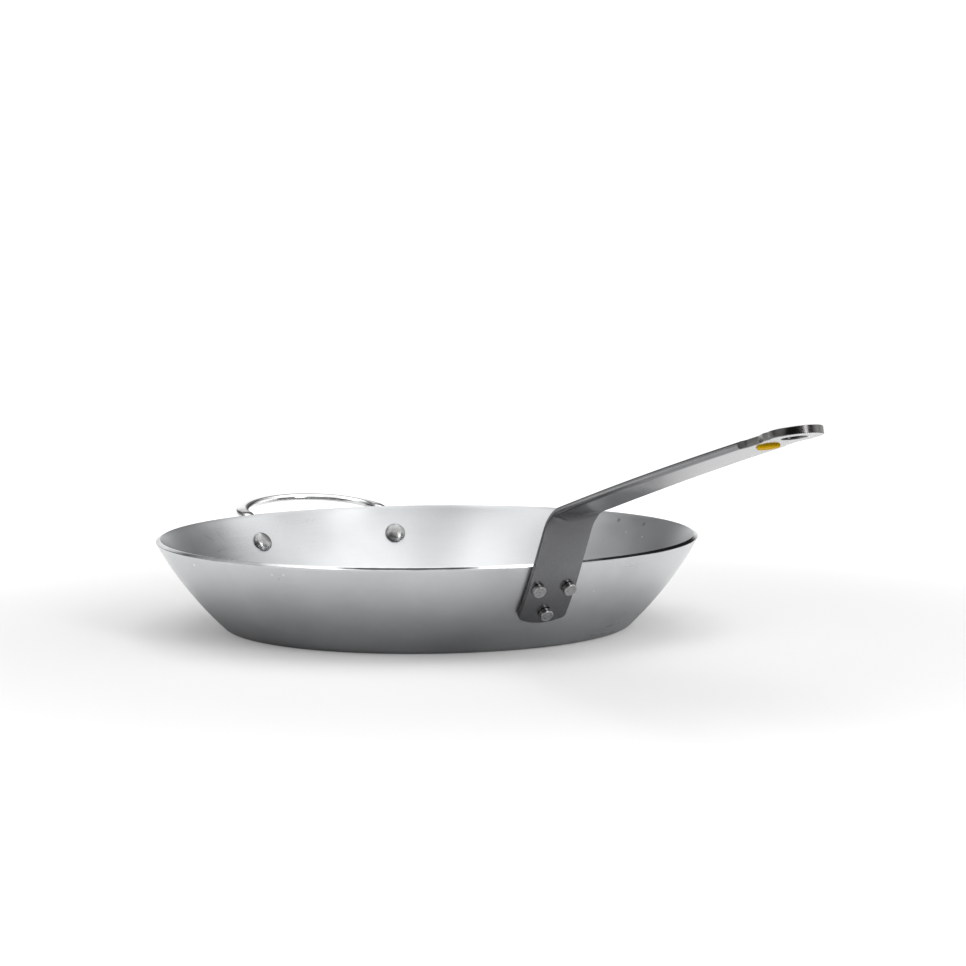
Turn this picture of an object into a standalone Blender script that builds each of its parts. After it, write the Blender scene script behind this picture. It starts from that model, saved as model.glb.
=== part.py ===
"""Two-handled riveted carbon-steel frying pan: a spun pan body, a bent strip-steel long handle with a
blanked, pierced head, a small round medallion under that head, an oval-section steel helper loop and
five solid rivets.

Built in millimetres and scaled to metres. +Z is up, the underside of the base is at Z = 0 on the
axis, the long handle runs along +X and the helper loop along -X. Angles are in degrees. A "wall
angle" is the slope of the pan's outer skin from horizontal, and also says how high up the wall a
place is. Azimuths run from +X towards +Y.
"""

import math

import bmesh
import bpy
from mathutils import Matrix, Vector

for old in list(bpy.data.objects):
    bpy.data.objects.remove(old, do_unlink=True)

MM = 0.001
SEAT_GAP = 0.3           # air gap that stands in for metal-to-metal contact

# ---- materials: base colour, roughness, metallic ----
LOOKS = {
    "carbon_steel": {"color": (0.56, 0.57, 0.58, 1.0), "roughness": 0.34, "metallic": 1.0},
    "dark_strip_steel": {"color": (0.115, 0.118, 0.122, 1.0), "roughness": 0.38, "metallic": 1.0},
    "polished_steel": {"color": (0.78, 0.79, 0.80, 1.0), "roughness": 0.08, "metallic": 1.0},
    "rivet_steel": {"color": (0.42, 0.42, 0.43, 1.0), "roughness": 0.36, "metallic": 1.0},
    "yellow_disc": {"color": (0.80, 0.46, 0.03, 1.0), "roughness": 0.30, "metallic": 0.0},
}


def material(name, color, roughness, metallic):
    mat = bpy.data.materials.new(name)
    mat.use_nodes = True
    bsdf = mat.node_tree.nodes["Principled BSDF"]
    bsdf.inputs["Base Color"].default_value = color
    bsdf.inputs["Roughness"].default_value = roughness
    bsdf.inputs["Metallic"].default_value = metallic
    mat.diffuse_color = color
    return mat


# ---- number helpers ----
def rad(degrees):
    return math.radians(degrees)


def mix(first, last, share):
    return first + (last - first) * share


def clamp(value):
    return min(max(value, 0.0), 1.0)


def ease(value):
    """Smooth step from 0 to 1."""
    value = clamp(value)
    return value * value * (3 - 2 * value)


def spread(first, last, steps):
    """Evenly spaced values, both ends included."""
    return [first + (last - first) * k / steps for k in range(steps + 1)]


def quarter_turn(steps):
    """(sine, cosine) at even steps from 0 to 90 degrees."""
    return [(math.sin(rad(turn)), math.cos(rad(turn))) for turn in spread(0.0, 90.0, steps)]


# ---- mesh helpers ----
def finish(bm, name, mat=None, sharp=40.0):
    """Turns a bmesh in millimetres into a smooth-shaded object in metres."""
    bmesh.ops.recalc_face_normals(bm, faces=bm.faces[:])
    bmesh.ops.scale(bm, vec=(MM, MM, MM), verts=bm.verts[:])
    mesh = bpy.data.meshes.new(name)
    bm.to_mesh(mesh)
    bm.free()
    mesh.shade_smooth()
    mesh.set_sharp_from_angle(angle=rad(sharp))
    obj = bpy.data.objects.new(name, mesh)
    bpy.context.scene.collection.objects.link(obj)
    if mat:
        mesh.materials.append(mat)
    return obj


def lathe(profile, steps, place=None):
    """Closed body of revolution about Z from (radius, z) points.

    An end that is off the axis is closed with one flat face.
    """
    bm = bmesh.new()
    turns = [2 * math.pi * k / steps for k in range(steps)]
    rings = []
    for radius, z in profile:
        if radius < 1e-6:
            rings.append([bm.verts.new((0, 0, z))])
        else:
            rings.append([
                bm.verts.new((radius * math.cos(turn), radius * math.sin(turn), z))
                for turn in turns
            ])
    for low, high in zip(rings, rings[1:]):
        for k in range(steps):
            corners = (
                low[k % len(low)],
                low[(k + 1) % len(low)],
                high[(k + 1) % len(high)],
                high[k % len(high)],
            )
            # A ring on the axis is a single vertex, which leaves a triangle.
            bm.faces.new(list(dict.fromkeys(corners)))
    for ring in (rings[0], rings[-1]):
        if len(ring) > 1:
            bm.faces.new(ring)
    if place:
        bmesh.ops.transform(bm, matrix=place, verts=bm.verts[:])
    return bm


def flat_cap(bm, row):
    bm.faces.new(row)


def loft(loops, cap=flat_cap):
    """Closed body through equal-length closed loops of points, with cap closing both ends."""
    bm = bmesh.new()
    rows = [[bm.verts.new(point) for point in loop] for loop in loops]
    count = len(rows[0])
    for one, two in zip(rows, rows[1:]):
        for k in range(count):
            after = (k + 1) % count
            bm.faces.new((one[k], one[after], two[after], two[k]))
    # The last loop is reversed, and turned so that a strip section again starts on a flat.
    last = rows[-1][::-1]
    cap(bm, rows[0])
    cap(bm, last[4:] + last[:4])
    return bm


def frame_at(origin, axis):
    """Placement whose local +Z is the given axis."""
    return Matrix.Translation(origin) @ axis.to_track_quat("Z", "Y").to_matrix().to_4x4()


def drill(obj, place, radius, low, high, name, steps=24):
    """Cuts a round hole along the placement's Z, from low to high."""
    profile = [(0, low), (radius, low), (radius, high), (0, high)]
    cutter = finish(lathe(profile, steps, place), name)
    cutter.hide_render = True
    cutter.display_type = "WIRE"
    mod = obj.modifiers.new(name, "BOOLEAN")
    mod.operation = "DIFFERENCE"
    mod.solver = "EXACT"
    mod.object = cutter


# ---- pan body: base disc, knuckle and curved flaring wall, all given for the outer skin ----
BASE_R = 115.75          # flat part of the underside
KNUCKLE_R = 8.0          # outer radius between base and wall
KNUCKLE_END = 43.56      # wall angle where the knuckle hands over to the wall arc
WALL_ARC_R = 206.6       # the wall is a shallow arc in section
RIM_ANGLE = 61.23        # wall angle at the rim
SHEET = 3.0              # sheet thickness
SPIN_STEPS = 119         # odd, so that the axis falls inside one facet of the floor

ARC_CENTRE_R = BASE_R + (KNUCKLE_R - WALL_ARC_R) * math.sin(rad(KNUCKLE_END))
ARC_CENTRE_Z = KNUCKLE_R - (KNUCKLE_R - WALL_ARC_R) * math.cos(rad(KNUCKLE_END))


def wall(angle, offset=0.0):
    """(radius, z) on the outer skin at a wall angle, moved outward along the normal by offset."""
    reach = WALL_ARC_R + offset
    slope = rad(angle)
    return ARC_CENTRE_R + reach * math.sin(slope), ARC_CENTRE_Z - reach * math.cos(slope)


def wall_point(angle, azimuth, offset=0.0):
    radius, z = wall(angle, offset)
    return Vector((radius * math.cos(rad(azimuth)), radius * math.sin(rad(azimuth)), z))


def wall_normal(angle, azimuth):
    """Outward normal, which also points down."""
    slope, around = rad(angle), rad(azimuth)
    return Vector((
        math.sin(slope) * math.cos(around),
        math.sin(slope) * math.sin(around),
        -math.cos(slope),
    ))


def wall_uphill(angle, azimuth):
    """Direction straight up the wall."""
    slope, around = rad(angle), rad(azimuth)
    return Vector((
        math.cos(slope) * math.cos(around),
        math.cos(slope) * math.sin(around),
        math.sin(slope),
    ))


def skin(inset):
    """Section of the skin moved inward by inset, from the edge of the flat floor to the rim."""
    radius = KNUCKLE_R - inset
    points = []
    for angle in spread(0.0, KNUCKLE_END, 5):
        slope = rad(angle)
        points.append((BASE_R + radius * math.sin(slope), KNUCKLE_R - radius * math.cos(slope)))
    points += [wall(angle, -inset) for angle in spread(KNUCKLE_END, RIM_ANGLE, 6)[1:]]
    return points


def build_pan(mat):
    return finish(lathe(skin(0.0) + skin(SHEET)[::-1], SPIN_STEPS), "pan_body", mat, sharp=35)


# ---- long handle: leg up the wall, bend, arm, blanked head ----
STRIP_T = 4.0            # strip thickness
LEG_BOTTOM = 50.75       # wall angle at the leg's lower edge
LEG_STRAIGHT = 24.73     # straight run of the leg above the rim
BEND_R = 28.0            # mid-plane radius of the bend
ARM_ANGLE = 15.91        # arm angle from horizontal where the bend ends
ARM_ARC_R = 5700.0       # the arm flattens very slightly along its length
ARM_TO_TIP = 235.1       # mid-plane length from the end of the bend to the tip
LEG_HALF_W = 14.65
ARM_HALF_W = 13.65       # bar half-width just before the blanked head
TAPER_DELAY = 60.0       # full-width run of the arm before it tapers
LEG_CROWN_R = 31.0       # radius of the leg's curved lower edge
LEG_CORNER_R = 2.0
LEG_SADDLE_R = 300.0     # the leg is pressed to a shallow saddle around the pan
SADDLE_LEAD = 6.0        # the saddle starts to ease out this far below the rim
BAR_EDGE_R = 1.35        # rolled edges of the bar
BLANK_EDGE_R = 0.35      # broken edges of the blanked head
FLAT_SHARES = (-1.0, -0.66, -0.33, 0.0, 0.33, 0.66, 1.0)  # points across a flat of the section

# Head outline, measured back from the tip along the arm.
HEAD_R = 13.7
HEAD_CENTRE = HEAD_R     # the round end touches the tip
HEAD_ARC = (-16.0, 86.0)  # turn of the round end, 90 being the tip
SHOULDER_TOP = 22.4
SHOULDER_FOOT = 28.4
NECK_END = 39.6
BAR_END = 43.9
NECK_HALF_W = 11.35
# (distance back from the tip, half-width) from the bar's end to the start of the round end
HEAD_SIDES = (
    (BAR_END - 0.6, ARM_HALF_W - 0.15),
    (BAR_END - 2.0, ARM_HALF_W - 1.15),
    (NECK_END, NECK_HALF_W + 0.15),
    (NECK_END - 2.5, NECK_HALF_W),
    (SHOULDER_FOOT + 1.2, NECK_HALF_W),
    (SHOULDER_FOOT - 0.6, NECK_HALF_W + 0.45),
    (SHOULDER_TOP + 1.0, HEAD_R - 0.75),
    (SHOULDER_TOP - 1.0, HEAD_R - 0.22),
)
HOLE_BACK = 15.0         # hanging hole centre, back from the tip
HOLE_R = 6.5
HOLE_CUT = 8.0           # reach of the hole's cutter either side of the mid-plane
HOLE_STEPS = 40

# Medallion, in a round seat in the head's underside.
DISC_BACK = 39.55        # centre, back from the tip
DISC_R = 5.8
DISC_PROUD = 1.5
DISC_EDGE_R = 0.8
DISC_CROWN = 0.25        # rise of the face from its rounded edge to its centre
DISC_FACE_R = 2.6        # ring on the crowned face
DISC_FACE_DROP = 0.06    # how far that ring lies behind the centre
DISC_STEPS = 36
SEAT_DEPTH = 1.2
SEAT_CUT = 6.0           # reach of the seat's cutter below the strip

# Distances along the strip's mid-plane, from the leg's lower edge.
LEG_MID = SEAT_GAP + STRIP_T / 2  # mid-plane of the leg, off the outer skin
RIM_AT = (WALL_ARC_R + LEG_MID) * rad(RIM_ANGLE - LEG_BOTTOM)
BEND_AT = RIM_AT + LEG_STRAIGHT
ARM_AT = BEND_AT + BEND_R * rad(RIM_ANGLE - ARM_ANGLE)
TIP_AT = ARM_AT + ARM_TO_TIP
HEAD_AT = TIP_AT - BAR_END
HOLE_AT = TIP_AT - HOLE_BACK
DISC_AT = TIP_AT - DISC_BACK


def level_out(x, z, tilt, radius, length):
    """(x, z, tilt) after following an arc that turns down towards horizontal."""
    end = tilt - length / radius
    x += radius * (math.sin(tilt) - math.sin(end))
    z += radius * (math.cos(end) - math.cos(tilt))
    return x, z, end


def path(along):
    """(x, z, tilt in radians) on the strip's mid-plane at a distance from the leg's lower edge."""
    if along <= RIM_AT:
        angle = LEG_BOTTOM + math.degrees(along / (WALL_ARC_R + LEG_MID))
        x, z = wall(angle, LEG_MID)
        return x, z, rad(angle)
    tilt = rad(RIM_ANGLE)
    x, z = wall(RIM_ANGLE, LEG_MID)
    straight = min(along, BEND_AT) - RIM_AT
    x += straight * math.cos(tilt)
    z += straight * math.sin(tilt)
    if along <= BEND_AT:
        return x, z, tilt
    x, z, tilt = level_out(x, z, tilt, BEND_R, min(along, ARM_AT) - BEND_AT)
    if along <= ARM_AT:
        return x, z, tilt
    return level_out(x, z, tilt, ARM_ARC_R, along - ARM_AT)


def saddle(along):
    """1 on the pan, easing to 0 above the rim."""
    return 1.0 - ease((along - RIM_AT + SADDLE_LEAD) / (LEG_STRAIGHT + SADDLE_LEAD))


def on_strip(along, across, off):
    """Point on the strip; off is measured from the mid-plane, + towards the pan or up."""
    x, z, tilt = path(along)
    off += saddle(along) * across * across / (2 * LEG_SADDLE_R)
    return Vector((x - off * math.sin(tilt), across, z + off * math.cos(tilt)))


def strip_frame(along, off):
    """Placement on the strip's centre line, local +Z square to the strip (up on the arm)."""
    tilt = path(along)[2]
    return frame_at(on_strip(along, 0, off), Vector((-math.sin(tilt), 0.0, math.cos(tilt))))


def arm_half_width(along):
    taper_at = ARM_AT + TAPER_DELAY
    return mix(LEG_HALF_W, ARM_HALF_W, clamp((along - taper_at) / (HEAD_AT - taper_at)))


def stations():
    """(distance along, half-width, edge radius, share of the lower edge's curve)."""
    rows = []
    for sine, cosine in quarter_turn(4):
        half_width = LEG_HALF_W - LEG_CORNER_R * (1 - sine)
        rows.append((LEG_CORNER_R * (1 - cosine), half_width, BAR_EDGE_R, 0.75 + 0.25 * cosine))
    for k, along in enumerate(spread(LEG_CORNER_R, RIM_AT, 7)[1:], 1):
        rows.append((along, LEG_HALF_W, BAR_EDGE_R, max(0.0, 0.75 - 0.15 * k)))
    for along in spread(RIM_AT, BEND_AT, 3)[1:] + spread(BEND_AT, ARM_AT, 10)[1:]:
        rows.append((along, LEG_HALF_W, BAR_EDGE_R, 0.0))
    for along in spread(ARM_AT, HEAD_AT, 12)[1:]:
        rows.append((along, arm_half_width(along), BAR_EDGE_R, 0.0))
    for back, half_width in HEAD_SIDES:
        rows.append((TIP_AT - back, half_width, BLANK_EDGE_R, 0.0))
    for turn in spread(*HEAD_ARC, 11):
        along = TIP_AT - HEAD_CENTRE + HEAD_R * math.sin(rad(turn))
        rows.append((along, HEAD_R * math.cos(rad(turn)), BLANK_EDGE_R, 0.0))
    return rows


def strip_loop(along, half_width, edge_r, crown):
    """Rounded-rectangle section: a flat and an edge, then the same turned half round."""
    half_t = STRIP_T / 2
    flat_w, side_h = half_width - edge_r, half_t - edge_r
    diagonal = edge_r * math.sqrt(0.5)
    half = [(flat_w * share, half_t) for share in FLAT_SHARES]
    half += [
        (flat_w + diagonal, side_h + diagonal),
        (half_width, side_h),
        (half_width, -side_h),
        (flat_w + diagonal, -side_h - diagonal),
    ]
    section = half + [(-across, -off) for across, off in half]
    return [
        on_strip(along + crown * across * across / (2 * LEG_CROWN_R), across, off)
        for across, off in section
    ]


def strip_cap(bm, row):
    """Closes a strip end with quads that run straight through it, so a bowed end stays smooth."""
    near, far = row[0:7], row[11:18][::-1]
    for k in range(6):
        bm.faces.new((near[k], near[k + 1], far[k + 1], far[k]))
    bm.faces.new(row[6:12])
    bm.faces.new(row[17:] + row[:1])


def build_handle(mat):
    loops = [strip_loop(*row) for row in stations()]
    handle = finish(loft(loops, strip_cap), "long_handle", mat, sharp=32)
    drill(handle, strip_frame(HOLE_AT, 0), HOLE_R, -HOLE_CUT, HOLE_CUT,
          "cut_hanging_hole", HOLE_STEPS)
    drill(handle, strip_frame(DISC_AT, -STRIP_T / 2), DISC_R + SEAT_GAP, -SEAT_CUT, SEAT_DEPTH,
          "cut_disc_seat", DISC_STEPS)
    return handle


def build_disc(mat):
    """Medallion, turned about the strip's normal with its crowned face down."""
    low, high = -DISC_PROUD, SEAT_DEPTH - SEAT_GAP
    profile = [(0.0, high), (DISC_R, high)]
    for sine, cosine in quarter_turn(4):
        radius = DISC_R - DISC_EDGE_R * (1 - cosine)
        profile.append((radius, low + DISC_CROWN + DISC_EDGE_R * (1 - sine)))
    profile += [(DISC_FACE_R, low + DISC_FACE_DROP), (0.0, low)]
    place = strip_frame(DISC_AT, -STRIP_T / 2)
    return finish(lathe(profile, DISC_STEPS, place), "handle_medallion", mat, sharp=35)


# ---- helper loop: a pad on the wall at each end, joined by a bowed rod ----
HELPER_RIVET_AZ = 18.13  # either side of -X
HELPER_RIVET_ANGLE = 55.8
LOOP_HALF_W = 45.3       # centreline half-width at the legs
LOOP_ROOT = 166.5        # distance from the pan axis where the legs start to curve
LOOP_REACH = 35.5        # further reach of the bow
LOOP_Z = 52.3
LOOP_RISE = 5.2          # rise of the bow from its legs to its centre
LOOP_RISE_POWER = 1.3    # above 1, the rise gathers towards the centre
LOOP_TILT = 8.0          # tilt of the section at the bow's centre
ROD_HALF_W = 4.1
ROD_HALF_T = 2.2
ROD_SQUARENESS = 2.3     # superellipse exponent: 2 is an ellipse, more is squarer
PAD_HALF_W = 7.6
PAD_HALF_T = 1.65
PAD_SQUARENESS = 4.5
PAD_TIP_HALF_W = 1.6     # least half-width, at the pad's rounded end
PAD_BELOW = 10.5         # pad length below its rivet, along the wall
PAD_ABOVE = 5.0          # and above it, to where the neck starts
NECK_START_PULL = 26.0   # strength of the neck curve's tangent up the wall
NECK_END_PULL = Vector((-22.0, 0.0, 1.6))  # its tangent where it meets the bow
NECK_THINNED = 0.75      # share of the neck over which pad section turns to rod section
HELPER_SIDES = 16


def hermite(start, start_pull, end, end_pull, share):
    square, cube = share**2, share**3
    return (
        start * (2 * cube - 3 * square + 1)
        + start_pull * (cube - 2 * square + share)
        + end * (-2 * cube + 3 * square)
        + end_pull * (cube - square)
    )


def helper_half_path():
    """Rows from the pad's end to the bow's centre, on the +Y side.

    Each is (point, thickness direction, half-width, half-thickness, squareness).
    """
    azimuth = 180.0 - HELPER_RIVET_AZ
    pad_off = SEAT_GAP + PAD_HALF_T

    def pad_angle(along):
        return HELPER_RIVET_ANGLE + math.degrees(along / WALL_ARC_R)

    pad = []  # (distance up the wall from the rivet, half-width)
    for sine, cosine in quarter_turn(5):
        half_width = max(PAD_HALF_W * sine, PAD_TIP_HALF_W)
        pad.append((-PAD_BELOW + PAD_HALF_W * (1 - cosine), half_width))
    for along in spread(-PAD_BELOW + PAD_HALF_W, PAD_ABOVE, 4)[1:]:
        pad.append((along, PAD_HALF_W))
    rows = []
    for along, half_width in pad:
        angle = pad_angle(along)
        point, normal = wall_point(angle, azimuth, pad_off), wall_normal(angle, azimuth)
        rows.append((point, normal, half_width, PAD_HALF_T, PAD_SQUARENESS))

    # Neck: from the top of the pad, up the wall and over to the root of the bow.
    angle = pad_angle(PAD_ABOVE)
    start, start_normal = wall_point(angle, azimuth, pad_off), wall_normal(angle, azimuth)
    start_pull = wall_uphill(angle, azimuth) * NECK_START_PULL
    root = Vector((-LOOP_ROOT, LOOP_HALF_W, LOOP_Z))
    down = Vector((0.0, 0.0, -1.0))
    for share in spread(0.0, 1.0, 12)[1:]:
        thinned = ease(share / NECK_THINNED)
        rows.append((
            hermite(start, start_pull, root, NECK_END_PULL, share),
            start_normal.lerp(down, ease(share)).normalized(),
            mix(PAD_HALF_W, ROD_HALF_W, thinned),
            mix(PAD_HALF_T, ROD_HALF_T, thinned),
            mix(PAD_SQUARENESS, ROD_SQUARENESS, thinned),
        ))

    # Bow: a quarter ellipse in plan that rises towards its centre.
    for sine, cosine in quarter_turn(18)[1:]:
        point = Vector((
            -(LOOP_ROOT + LOOP_REACH * sine),
            LOOP_HALF_W * cosine,
            LOOP_Z + LOOP_RISE * sine**LOOP_RISE_POWER,
        ))
        tilt = rad(LOOP_TILT) * sine
        normal = Vector((-math.sin(tilt), 0.0, -math.cos(tilt)))
        rows.append((point, normal, ROD_HALF_W, ROD_HALF_T, ROD_SQUARENESS))
    return rows


def superellipse(half_width, half_t, squareness):
    """(across, through) points of the helper's section."""
    points = []
    for k in range(HELPER_SIDES):
        turn = 2 * math.pi * k / HELPER_SIDES
        cosine, sine = math.cos(turn), math.sin(turn)
        points.append((
            half_width * math.copysign(abs(cosine) ** (2 / squareness), cosine),
            half_t * math.copysign(abs(sine) ** (2 / squareness), sine),
        ))
    return points


def build_helper(mat):
    half = helper_half_path()
    flip = Vector((1.0, -1.0, 1.0))
    rows = half + [(point * flip, normal * flip, *size) for point, normal, *size in half[-2::-1]]
    loops = []
    for k, (point, normal, *size) in enumerate(rows):
        before, after = rows[max(k - 1, 0)][0], rows[min(k + 1, len(rows) - 1)][0]
        tangent = (after - before).normalized()
        across = tangent.cross(normal).normalized()
        through = across.cross(tangent).normalized()
        loops.append([point + across * x + through * y for x, y in superellipse(*size)])
    return finish(loft(loops), "helper_handle", mat, sharp=50)


# ---- rivets: a domed head inside the pan, a shank and a flat-faced tail outside ----
SHANK_R = 3.2
SHANK_CLEAR = 0.3        # radial clearance of the rivet holes
DOME_R = 6.3
DOME_H = 3.3
DOME_RIM_H = 0.35        # height of the dome's bevelled rim
DOME_RIM_IN = 0.15       # how far that bevel leans in
TAIL_R = 3.95
TAIL_FACE_R = 3.2
TAIL_H = 3.2
TAIL_SIDE_END = 1.1      # end of the tail's straight side, below its face
TAIL_BEVEL = (0.2, 0.45)  # bevel point: in from the side, below the face
RIVET_STEPS = 28
HANDLE_RIVET_AZ = 3.42   # upper pair, either side of the handle's centre plane
HANDLE_RIVET_UP = 57.76  # wall angles at the rivets
HANDLE_RIVET_LOW = 52.92
PAN_CUT = (-9, 9)        # reach of the hole cutters, from the outer skin
PLATE_CUT = (-9, 12)


def rivet_profile(plate_t):
    """Section of a set rivet about its axis, +Z outward, origin on the pan's outer skin."""
    seat = -SHEET - SEAT_GAP
    out = plate_t + 2 * SEAT_GAP
    face = out + TAIL_H
    bevel_in, bevel_below = TAIL_BEVEL
    points = [
        (DOME_R * sine, seat - DOME_RIM_H - (DOME_H - DOME_RIM_H) * cosine)
        for sine, cosine in quarter_turn(6)
    ]
    return points + [
        (DOME_R - DOME_RIM_IN, seat),
        (SHANK_R, seat),
        (SHANK_R, out),
        (TAIL_R, out),
        (TAIL_R, face - TAIL_SIDE_END),
        (TAIL_R - bevel_in, face - bevel_below),
        (TAIL_FACE_R, face),
        (0.0, face),
    ]


def build_rivets(pan, handle, helper, mat):
    """Drills the pan and the plate for each rivet, and sets the rivet; left is the -Y side."""
    pad_t = 2 * PAD_HALF_T
    # (name, wall angle, azimuth, plate thickness, plate)
    rivets = (
        ("handle_rivet_left", HANDLE_RIVET_UP, -HANDLE_RIVET_AZ, STRIP_T, handle),
        ("handle_rivet_right", HANDLE_RIVET_UP, HANDLE_RIVET_AZ, STRIP_T, handle),
        ("handle_rivet_lower", HANDLE_RIVET_LOW, 0.0, STRIP_T, handle),
        ("helper_rivet_left", HELPER_RIVET_ANGLE, 180.0 + HELPER_RIVET_AZ, pad_t, helper),
        ("helper_rivet_right", HELPER_RIVET_ANGLE, 180.0 - HELPER_RIVET_AZ, pad_t, helper),
    )
    for name, angle, azimuth, plate_t, plate in rivets:
        place = frame_at(wall_point(angle, azimuth), wall_normal(angle, azimuth))
        drill(pan, place, SHANK_R + SHANK_CLEAR, *PAN_CUT, "cut_pan_" + name)
        drill(plate, place, SHANK_R + SHANK_CLEAR, *PLATE_CUT, "cut_plate_" + name)
        finish(lathe(rivet_profile(plate_t), RIVET_STEPS, place), name, mat, sharp=35)


def main():
    mats = {name: material(name, **look) for name, look in LOOKS.items()}
    pan = build_pan(mats["carbon_steel"])
    handle = build_handle(mats["dark_strip_steel"])
    build_disc(mats["yellow_disc"])
    helper = build_helper(mats["polished_steel"])
    build_rivets(pan, handle, helper, mats["rivet_steel"])

    root = bpy.data.objects.new("frying_pan", None)
    bpy.context.scene.collection.objects.link(root)
    for obj in list(bpy.data.objects):
        if obj is not root:
            obj.parent = root


main()
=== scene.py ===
"""Looks for the two-handled riveted carbon-steel frying pan: finer meshes that stand for the CAD nodes, their
procedural materials, a pale studio floor, soft light and the camera. Meshes are built in millimetres and scaled."""

import math

import bmesh
import bpy
from mathutils import Matrix, Vector


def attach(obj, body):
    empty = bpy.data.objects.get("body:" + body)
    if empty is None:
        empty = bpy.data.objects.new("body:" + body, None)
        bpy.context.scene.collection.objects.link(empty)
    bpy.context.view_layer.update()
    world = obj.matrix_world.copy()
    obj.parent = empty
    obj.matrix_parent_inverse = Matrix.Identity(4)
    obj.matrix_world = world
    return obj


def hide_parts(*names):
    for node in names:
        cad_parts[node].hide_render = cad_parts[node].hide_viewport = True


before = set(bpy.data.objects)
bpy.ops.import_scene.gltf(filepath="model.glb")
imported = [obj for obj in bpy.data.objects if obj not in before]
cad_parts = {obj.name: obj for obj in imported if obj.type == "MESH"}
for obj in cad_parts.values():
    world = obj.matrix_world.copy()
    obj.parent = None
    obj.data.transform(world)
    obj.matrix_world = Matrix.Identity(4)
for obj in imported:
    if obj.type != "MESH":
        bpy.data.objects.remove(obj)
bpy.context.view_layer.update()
MM = 0.001

# ---- the same design sizes as the CAD model (mm, degrees) --------------------------------------------------
BASE_R, KNUCKLE_R, KNUCKLE_END, WALL_ARC_R, RIM_ANGLE, SHEET = 115.75, 8.0, 43.56, 206.6, 61.23, 3.0
STRIP_T, SEAT_GAP, LEG_BOTTOM, LEG_STRAIGHT, BEND_R = 4.0, 0.3, 50.75, 24.73, 28.0
ARM_ANGLE, ARM_ARC_R, ARM_TO_TIP, LEG_HALF_W, ARM_HALF_W = 15.91, 5700.0, 235.1, 14.65, 13.65
LEG_CROWN_R, LEG_CORNER_R, LEG_SADDLE_R, BAR_EDGE_R, BLANK_EDGE_R = 31.0, 1.3, 300.0, 1.45, 0.4
HEAD_R, HEAD_CENTRE, SHOULDER_TOP, SHOULDER_FOOT = 13.7, 13.7, 22.4, 28.4
NECK_END, BAR_END, NECK_HALF_W = 39.6, 45.6, 11.35
HOLE_BACK, HOLE_R, DISC_BACK, DISC_R, DISC_PROUD, SEAT_DEPTH = 15.0, 6.5, 39.55, 5.8, 1.5, 1.2
SHANK_R, SHANK_CLEAR, DOME_R, DOME_H, TAIL_R, TAIL_FACE_R, TAIL_H = 3.2, 0.3, 6.3, 3.3, 3.95, 3.2, 3.2
HANDLE_RIVET_AZ, HANDLE_RIVET_UP, HANDLE_RIVET_LOW = 3.42, 57.76, 52.92
HELPER_RIVET_AZ, HELPER_RIVET_ANGLE = 18.13, 55.8
LOOP_HALF_W, LOOP_ROOT, LOOP_REACH, LOOP_Z, LOOP_RISE = 45.3, 166.5, 35.5, 52.3, 5.2
ROD_HALF_W, ROD_HALF_T, PAD_HALF_W, PAD_HALF_T, PAD_BELOW, PAD_ABOVE = 4.1, 2.2, 7.6, 1.65, 10.5, 7.0


def rad(deg):
    return math.radians(deg)


def smooth(k):
    k = min(max(k, 0.0), 1.0)
    return k * k * (3 - 2 * k)


# ---- mesh helpers ------------------------------------------------------------------------------------------
def finish_mesh(bm, name, sharp=35.0):
    bmesh.ops.recalc_face_normals(bm, faces=bm.faces[:])
    bmesh.ops.scale(bm, vec=(MM, MM, MM), verts=bm.verts[:])
    mesh = bpy.data.meshes.new(name)
    bm.to_mesh(mesh)
    bm.free()
    mesh.shade_smooth()
    mesh.set_sharp_from_angle(angle=rad(sharp))
    obj = bpy.data.objects.new(name, mesh)
    bpy.context.scene.collection.objects.link(obj)
    return obj


def lathe(profile, steps, place=None, warp=None):
    bm = bmesh.new()
    rings = []
    for r, z in profile:
        if r < 1e-6:
            rings.append([bm.verts.new((0, 0, z))])
            continue
        ring = []
        for k in range(steps):
            a = 2 * math.pi * k / steps
            rr, zz = warp(r, z, a) if warp else (r, z)
            ring.append(bm.verts.new((rr * math.cos(a), rr * math.sin(a), zz)))
        rings.append(ring)
    for low, high in zip(rings, rings[1:]):
        for k in range(steps):
            a, b = low[k % len(low)], low[(k + 1) % len(low)]
            c, d = high[(k + 1) % len(high)], high[k % len(high)]
            bm.faces.new([v for i, v in enumerate((a, b, c, d)) if v not in (a, b, c, d)[:i]])
    if place:
        bmesh.ops.transform(bm, matrix=place, verts=bm.verts[:])
    return bm


def loft(loops):
    bm = bmesh.new()
    rows = [[bm.verts.new(p) for p in loop] for loop in loops]
    n = len(rows[0])
    for one, two in zip(rows, rows[1:]):
        for k in range(n):
            bm.faces.new((one[k], one[(k + 1) % n], two[(k + 1) % n], two[k]))
    return bm, rows


def frame_at(origin, axis):
    return Matrix.Translation(origin) @ Vector(axis).to_track_quat("Z", "Y").to_matrix().to_4x4()


def cut_all(obj, cutters, sharp=35.0):
    """Cuts each closed body out of obj, applies the result and removes the cutters."""
    tools = []
    for i, bm in enumerate(cutters):
        tool = finish_mesh(bm, "%s_cutter_%d" % (obj.name, i))
        tool.hide_render = True
        mod = obj.modifiers.new("cut%d" % i, "BOOLEAN")
        mod.operation, mod.solver, mod.object = "DIFFERENCE", "EXACT", tool
        tools.append(tool)
    bpy.context.view_layer.update()
    graph = bpy.context.evaluated_depsgraph_get()
    mesh = bpy.data.meshes.new_from_object(obj.evaluated_get(graph), depsgraph=graph)
    old = obj.data
    obj.modifiers.clear()
    obj.data = mesh
    mesh.name = obj.name
    bpy.data.meshes.remove(old)
    for tool in tools:
        data = tool.data
        bpy.data.objects.remove(tool)
        bpy.data.meshes.remove(data)
    mesh.shade_smooth()
    mesh.set_sharp_from_angle(angle=rad(sharp))


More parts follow.
